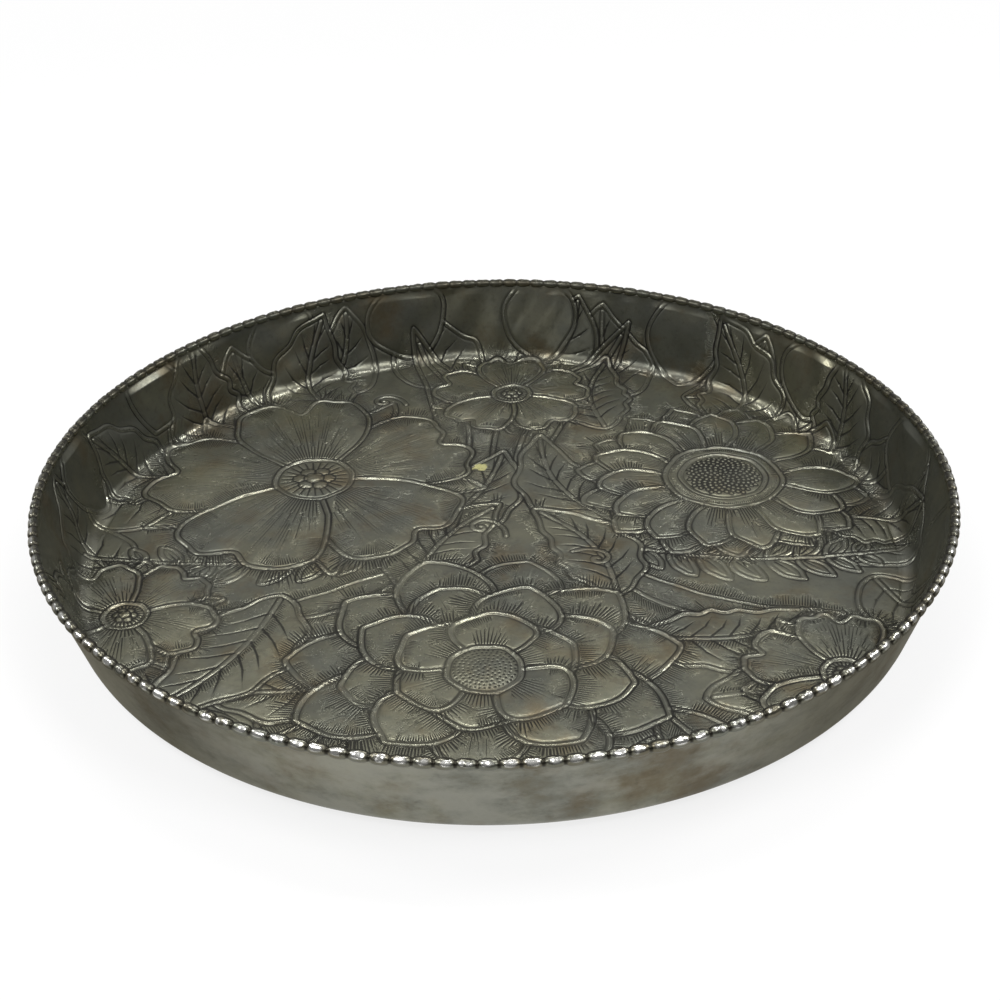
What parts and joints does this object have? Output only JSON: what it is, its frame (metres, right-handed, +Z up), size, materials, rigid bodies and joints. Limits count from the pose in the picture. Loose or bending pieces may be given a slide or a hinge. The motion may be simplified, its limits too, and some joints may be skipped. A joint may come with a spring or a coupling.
{
  "type": "round serving tray",
  "caption": "Round sheet-metal serving tray with a flat floor, a flared wall and a beaded rim that is crimped over the wall's edge round a stiffening wire.",
  "frame": {"origin": "centre of the underside, on the plane that the tray stands on", "axes": "+Z up along the tray's axis of revolution, +X to the right and -Y towards the viewer in the picture"},
  "size_m": [0.3032, 0.3032, 0.0327],
  "materials": {
    "pan_metal": "dark oxidised satin, chased inside",
    "core_wire": "plain drawn wire",
    "rim_metal": "oxidised, rubbed bright on the beads"
  },
  "bodies": {
    "root": {"tray_pan": "pan_metal", "rim_core_wire": "core_wire", "beaded_rim": "rim_metal"}
  },
  "joints": []
}
